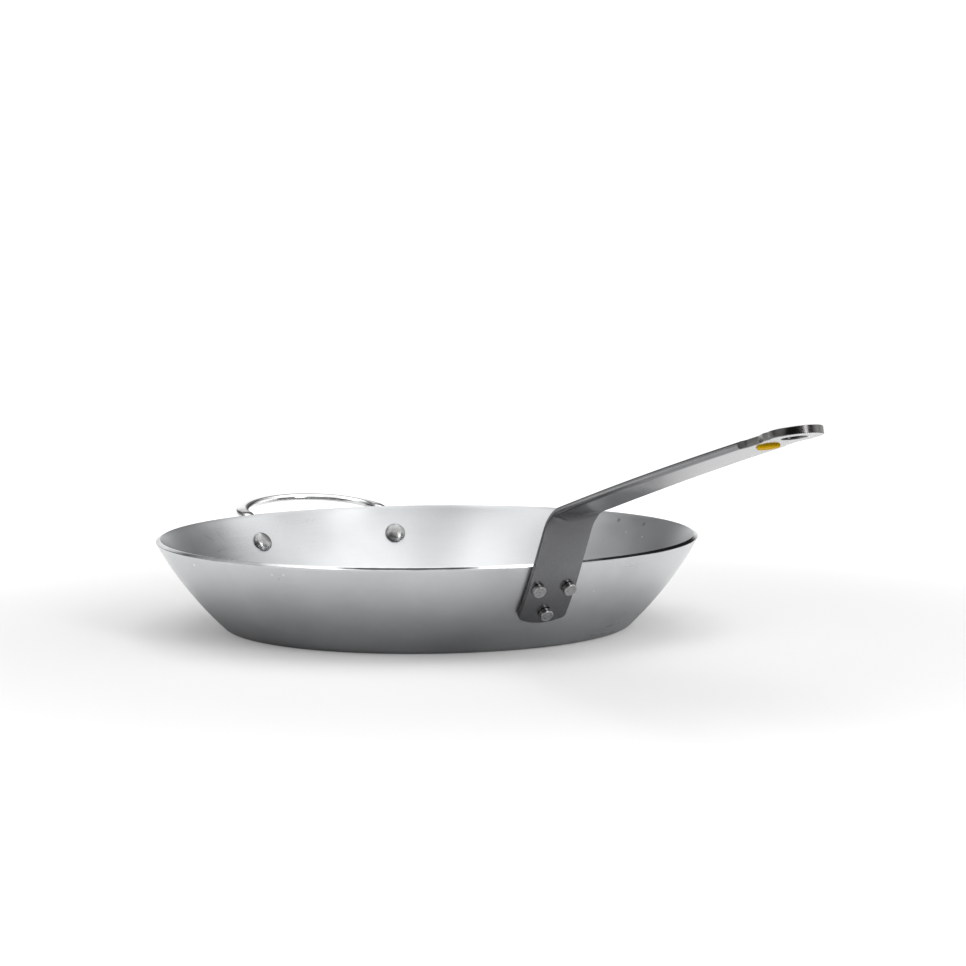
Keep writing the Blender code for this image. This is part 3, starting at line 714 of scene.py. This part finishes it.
def rod_steel():
    """Mirror-polished rod with faint polishing haze, and painted dark reflections where it turns down into its pads."""
    t = Tree("helper_polished_steel")
    place = t.add("ShaderNodeTexCoord").outputs["Object"]
    haze = t.noise(place, 90.0, 4.0, 0.6)
    lines = t.noise(t.vec("MULTIPLY", place, (120.0, 120.0, 1600.0)), 1.0, 2.0, 0.6)
    color = t.mix(t.ramp(haze, 0.3, 0.7), grey(0.74, -0.004), grey(0.83, -0.004))
    # painted dark reflection where the rod turns down into its pads: the pan's shaded outer wall mirrored in it
    for side in (-1, 1):
        turn = t.spot(place, Vector((-(LOOP_ROOT + 1.0), side * LOOP_HALF_W, LOOP_Z)) * MM, 0.013, 0.8)
        color = t.mix(t.math("MULTIPLY", turn, 0.75), color, grey(0.16, -0.01))
    rough = t.fmix(t.ramp(haze, 0.35, 0.7), 0.045, 0.10)
    rough = t.math("ADD", rough, t.math("MULTIPLY", lines, 0.03))
    normal = t.bump(t.math("ADD", haze, t.math("MULTIPLY", lines, 0.3)), 0.05, 0.0001)
    return t.surface(Base_Color=color, Metallic=1.0, Roughness=rough, Normal=normal)


def rivet_steel():
    """Satin rivet steel, uneven from the setting tool, with painted shade in its hollows."""
    t = Tree("rivet_satin_steel")
    place = t.add("ShaderNodeTexCoord").outputs["Object"]
    grain = t.noise(place, 1400.0, 3.0, 0.6)
    dents = t.noise(place, 420.0, 3.0, 0.55, 0.6)
    point = t.add("ShaderNodeNewGeometry").outputs["Pointiness"]
    color = t.mix(t.ramp(dents, 0.35, 0.65), grey(0.29, -0.004), grey(0.36, -0.004))
    # painted shade: darker in the hollows of each rivet, found by pointiness
    color = t.mix(t.ramp(point, 0.44, 0.49, 0.55, 0.0), color, grey(0.16, 0.01))
    color = t.mix(t.ramp(point, 0.52, 0.58, 0.0, 0.45), color, grey(0.62))
    rough = t.fmix(t.ramp(dents, 0.3, 0.7), 0.27, 0.36)
    height = t.math("ADD", t.math("MULTIPLY", grain, 0.35), t.math("MULTIPLY", dents, 0.9))
    normal = t.bump(height, 0.06, 0.00015)
    return t.surface(Base_Color=color, Metallic=1.0, Roughness=rough, Normal=normal)


def disc_yellow():
    """Glossy yellow enamel button with slight unevenness."""
    t = Tree("medallion_yellow")
    place = t.add("ShaderNodeTexCoord").outputs["Object"]
    cloud = t.noise(place, 110.0, 2.0, 0.5)
    grain = t.noise(place, 300.0, 2.0, 0.6)
    color = t.mix(t.ramp(cloud, 0.3, 0.7), (0.76, 0.45, 0.001, 1.0), (0.81, 0.49, 0.002, 1.0))
    rough = t.fmix(t.ramp(grain, 0.3, 0.7), 0.42, 0.52)
    normal = t.bump(cloud, 0.01, 0.0001)
    return t.surface(Base_Color=color, Roughness=rough, Normal=normal, Specular_IOR_Level=0.015)


# ---- build the pieces --------------------------------------------------------------------------------------
pan = build_pan()
rivet_rows = (
    ("handle_rivet_left", HANDLE_RIVET_UP, -HANDLE_RIVET_AZ, STRIP_T, 0.4),
    ("handle_rivet_right", HANDLE_RIVET_UP, HANDLE_RIVET_AZ, STRIP_T, 1.9),
    ("handle_rivet_lower", HANDLE_RIVET_LOW, 0.0, STRIP_T, 3.1),
    ("helper_rivet_left", HELPER_RIVET_ANGLE, 180.0 + HELPER_RIVET_AZ, 2 * PAD_HALF_T, 4.4),
    ("helper_rivet_right", HELPER_RIVET_ANGLE, 180.0 - HELPER_RIVET_AZ, 2 * PAD_HALF_T, 5.3),
)
cut_all(pan, [drill_tool(wall_point(a, z), wall_normal(a, z), SHANK_R + SHANK_CLEAR, -9, 9, 40) for _, a, z, _, _ in rivet_rows], 40)
handle = build_handle()
disc = build_disc()
helper = build_helper()
made = [
    (pan, "pan_body", "carbon_steel"),
    (handle, "long_handle", "dark_strip_steel"),
    (disc, "handle_medallion", "yellow_disc"),
    (helper, "helper_handle", "polished_steel"),
]
for name, angle, azimuth, plate, seed in rivet_rows:
    made.append((build_rivet(name + "_set", angle, azimuth, plate, seed), name, "rivet_steel"))

looks = {
    "carbon_steel": pan_steel(),
    "dark_strip_steel": strip_steel(),
    "polished_steel": rod_steel(),
    "rivet_steel": rivet_steel(),
    "yellow_disc": disc_yellow(),
}
for piece, node, slot in made:
    piece.data.materials.clear()
    piece.data.materials.append(looks[slot])
    if piece is pan:
        piece.data.materials.append(rim_steel())
        lift = math.cos(rad(RIM_ANGLE))
        for face in piece.data.polygons:
            across = face.center.xy.normalized()
            up_wall = face.normal.z * math.sin(rad(RIM_ANGLE)) + face.normal.xy.dot(across) * lift
            if up_wall > 0.35 and face.center.z > 0.050:
                face.material_index = 1
    if piece is handle:
        piece.data.materials.append(blanked_edge())
        x_cut, _, _ = path(S_TIP - BAR_END + 0.3)
        axis = strip_axis(S_TIP - HEAD_CENTRE)
        for face in piece.data.polygons:
            if face.center.x > x_cut * MM and abs(face.normal.dot(axis)) < 0.35:
                if (face.center - on_strip(S_TIP - DISC_BACK, 0, 0) * MM).length > (DISC_R + 1.0) * MM:
                    face.material_index = 1
    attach(piece, "root")
    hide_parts(node)


# ---- floor -------------------------------------------------------------------------------------------------
def build_floor():
    """Pale round table top. It fades to plain white away from the object, and is not seen from underneath."""
    bm = bmesh.new()
    rings = 14
    last = [bm.verts.new((0, 0, 0))]
    for k in range(1, rings + 1):
        r = 1250.0 * (k / rings) ** 1.4
        ring = [bm.verts.new((r * math.cos(2 * math.pi * j / 96), r * math.sin(2 * math.pi * j / 96), 0.0)) for j in range(96)]
        for j in range(96):
            if len(last) == 1:
                bm.faces.new((last[0], ring[j], ring[(j + 1) % 96]))
            else:
                bm.faces.new((last[j], ring[j], ring[(j + 1) % 96], last[(j + 1) % 96]))
        last = ring
    floor = finish_mesh(bm, "studio_floor")
    floor.location.z = -0.0002
    t = Tree("studio_floor_white")
    place = t.add("ShaderNodeTexCoord").outputs["Object"]
    path_info = t.add("ShaderNodeLightPath")
    seen = path_info.outputs["Is Camera Ray"]
    # painted shadow: for all but camera rays the floor is darker close to the pan
    near = t.ramp(t.vec("LENGTH", place), 0.125, 0.19, 0.47, 0.90)
    dim = t.ramp(t.vec("DOT_PRODUCT", place, (0.788, 0.615, 0.0)), 0.20, 0.32, 1.0, 0.42)   # less light falls right and forward
    near = t.math("MULTIPLY", near, dim)
    albedo = t.fmix(seen, near, 0.62)
    color = t.join(albedo, albedo, albedo)
    diffuse = t.add("ShaderNodeBsdfDiffuse", Color=color).outputs[0]
    white = t.add("ShaderNodeEmission", Color=(1, 1, 1, 1), Strength=1.02).outputs[0]
    away = t.vec("DISTANCE", place, (0.06, 0.0, 0.0))
    fade = t.math("MULTIPLY", t.ramp(away, 0.22, 0.66), seen)
    seen_white = t.add("ShaderNodeMixShader")
    t.put(seen_white, "0", fade)
    t.put(seen_white, "1", diffuse)
    t.put(seen_white, "2", white)
    # the sweep is lit more evenly further out than the one softbox does: a little glow
    glow = t.add("ShaderNodeEmission", Color=(1, 1, 1, 1)).outputs[0]
    far = t.math("MULTIPLY", t.ramp(t.vec("LENGTH", place), 0.19, 0.36, 0.0, 0.22), dim)
    # a soft fill under the base, so that the underside is not black when it is looked at from below
    far = t.math("ADD", far, t.ramp(t.vec("LENGTH", place), 0.098, 0.112, 0.34, 0.0))
    far = t.fmix(seen, far, 0.21)
    t.put(glow.node, "Strength", far)
    shown = t.add("ShaderNodeAddShader")
    t.put(shown, "0", seen_white.outputs[0])
    t.put(shown, "1", glow)
    clear = t.add("ShaderNodeBsdfTransparent").outputs[0]
    under = t.add("ShaderNodeMixShader")
    t.put(under, "0", t.add("ShaderNodeNewGeometry").outputs["Backfacing"])
    t.put(under, "1", shown.outputs[0])
    t.put(under, "2", clear)
    out = t.add("ShaderNodeOutputMaterial")
    t.nt.links.new(under.outputs[0], out.inputs["Surface"])
    floor.data.materials.append(t.owner)
    return floor


build_floor()

# ---- camera ------------------------------------------------------------------------------------------------
CAM_AT = Vector((1.76408777, -0.86209514, 0.28373798))
FORWARD = Vector((-0.88628291, 0.45191884, -0.10135069))
RIGHT = Vector((0.45510047, 0.89038928, -0.00951229))
UP = Vector((-0.08594278, 0.05455533, 0.99480528))
cam_data = bpy.data.cameras.new("camera")
cam_data.sensor_width = 36.0
cam_data.lens = 3341.573 * 36.0 / 966.0
cam_data.clip_start, cam_data.clip_end = 0.05, 50.0
camera = bpy.data.objects.new("camera", cam_data)
turn = Matrix((RIGHT, UP, -FORWARD)).transposed().to_4x4()
camera.matrix_world = Matrix.Translation(CAM_AT) @ turn
bpy.context.scene.collection.objects.link(camera)
bpy.context.scene.camera = camera

# ---- light -------------------------------------------------------------------------------------------------
TOWARD = Vector((0.8909, -0.4543, 0.0))       # from the pan towards the camera, level
SIDE = Vector((0.4543, 0.8909, 0.0))          # towards the right of the view


def area(name, at, aim, wide, high, radiance, roll=None):
    data = bpy.data.lights.new(name, "AREA")
    data.shape = "RECTANGLE"
    data.size, data.size_y = wide, high
    data.energy = radiance * math.pi * wide * high
    obj = bpy.data.objects.new(name, data)
    back = (at - aim).normalized()
    right = (roll or SIDE)
    right = (right - back * right.dot(back)).normalized()
    up = back.cross(right)
    obj.matrix_world = Matrix.Translation(at) @ Matrix((right, up, back)).transposed().to_4x4()
    obj.visible_camera = False
    bpy.context.scene.collection.objects.link(obj)
    return obj


below = TOWARD * 0.60
area("softbox_front", below + Vector((0, 0, 1.25)), below, 3.45, 0.6, 1.04)


def studio_world():
    """Dark room with a soft top glow, a white backdrop behind the object and a narrow strip light at the right."""
    t = Tree("studio_world", world=True)
    ray = t.add("ShaderNodeTexCoord").outputs["Generated"]
    x, y, z = t.xyz(ray)

    def lobe(direction, inner, outer, value):
        d = Vector(direction).normalized()
        dot = t.vec("DOT_PRODUCT", ray, tuple(d))
        return t.ramp(dot, math.cos(rad(outer)), math.cos(rad(inner)), 0.0, value)

    def towards(azimuth, elevation):
        """Direction seen from the pan: azimuth from straight behind it, to the right, and elevation, in degrees."""
        a, e = rad(azimuth), rad(elevation)
        return -TOWARD * (math.cos(a) * math.cos(e)) + SIDE * (math.sin(a) * math.cos(e)) + Vector((0, 0, math.sin(e)))

    total = 0.045
    for direction, inner, outer, value in (
        ((0, 0, 1), 8, 38, 1.45),          # overhead bank
        (towards(0, 60), 5, 24, 2.6),      # its front edge, above the backdrop
        (towards(-45, 56), 8, 34, 0.56),
        (towards(70, 56), 8, 36, 0.85),
        (towards(-120, 56), 8, 30, 0.55),
        (towards(97, 48), 4, 18, 0.55),
        (towards(176, 58), 5, 18, 0.42),
        (towards(-9, 19), 6, 15, 0.95),    # small bright reflector behind
        (towards(85, 20), 6, 24, 1.45),     # pale cards at the sides
        (towards(157, 38), 8, 24, 0.35),
        (towards(-105, 20), 12, 36, 0.75),
        (towards(65, 0), 10, 30, 0.70),
    ):
        total = t.math("ADD", total, lobe(direction, inner, outer, value))
    # pale backdrop, level with the object and behind it
    behind = t.ramp(t.vec("DOT_PRODUCT", ray, tuple(-TOWARD)), 0.2, 0.6)
    band = t.math("MULTIPLY", t.ramp(z, 0.05, 0.25, 0.83, 0.14), behind)
    total = t.math("ADD", total, band)
    # a dark gap between the bank and the backdrop, straight behind, running down at the right
    flat = t.vec("DOT_PRODUCT", ray, tuple(SIDE))
    square = t.math("MULTIPLY", flat, flat)
    curve = t.math("SUBTRACT", 0.905, t.math("MULTIPLY", square, t.math("ADD", t.math("MULTIPLY", square, 8.0), 0.9)))
    off = t.math("ABSOLUTE", t.math("SUBTRACT", z, curve))
    depth = t.math("MULTIPLY", t.ramp(flat, 0.10, 0.14, 0.96, 0.35), t.ramp(flat, -0.25, -0.17))
    gap = t.math("MULTIPLY", t.ramp(off, 0.040, 0.085, 1.0, 0.0), depth)
    rise = t.math("SUBTRACT", z, 0.57)
    side = t.math("SUBTRACT", 0.34, t.math("MULTIPLY", t.math("MULTIPLY", rise, rise), 1.1))
    fall = t.ramp(t.math("ABSOLUTE", t.math("SUBTRACT", flat, side)), 0.045, 0.095, 0.92, 0.0)
    fall = t.math("MULTIPLY", t.math("MULTIPLY", fall, behind), t.math("MULTIPLY", t.ramp(z, 0.10, 0.20), t.ramp(z, 0.76, 0.84, 1.0, 0.0)))
    total = t.math("MULTIPLY", total, t.math("MULTIPLY", t.math("SUBTRACT", 1.0, gap), t.math("SUBTRACT", 1.0, fall)))
    total = t.math("ADD", total, lobe(towards(20.5, 59.5), 3, 7, 1.6))
    # strip light: narrow in azimuth, tall in elevation
    s = Vector((0.9720, 0.2350, 0.0)).normalized()
    across = Vector((-s.y, s.x, 0.0))
    du = t.vec("DOT_PRODUCT", ray, tuple(across))
    df = t.vec("DOT_PRODUCT", ray, tuple(s))
    strip = t.math("MULTIPLY", t.ramp(t.math("ABSOLUTE", du), 0.05, 0.10, 1.0, 0.0), t.ramp(df, 0.2, 0.3))
    strip = t.math("MULTIPLY", strip, t.math("MULTIPLY", t.ramp(z, -0.02, 0.05), t.ramp(z, 0.55, 0.70, 1.0, 0.0)))
    total = t.math("ADD", total, t.math("MULTIPLY", strip, 11.0))
    seen = t.add("ShaderNodeLightPath").outputs["Is Camera Ray"]
    level = t.fmix(seen, total, 1.02)
    back = t.add("ShaderNodeBackground", Color=(1, 1, 1, 1))
    t.put(back, "Strength", level)
    out = t.add("ShaderNodeOutputWorld")
    t.nt.links.new(back.outputs[0], out.inputs["Surface"])
    return t.owner


bpy.context.scene.world = studio_world()
bpy.context.scene.view_settings.view_transform = "Standard"
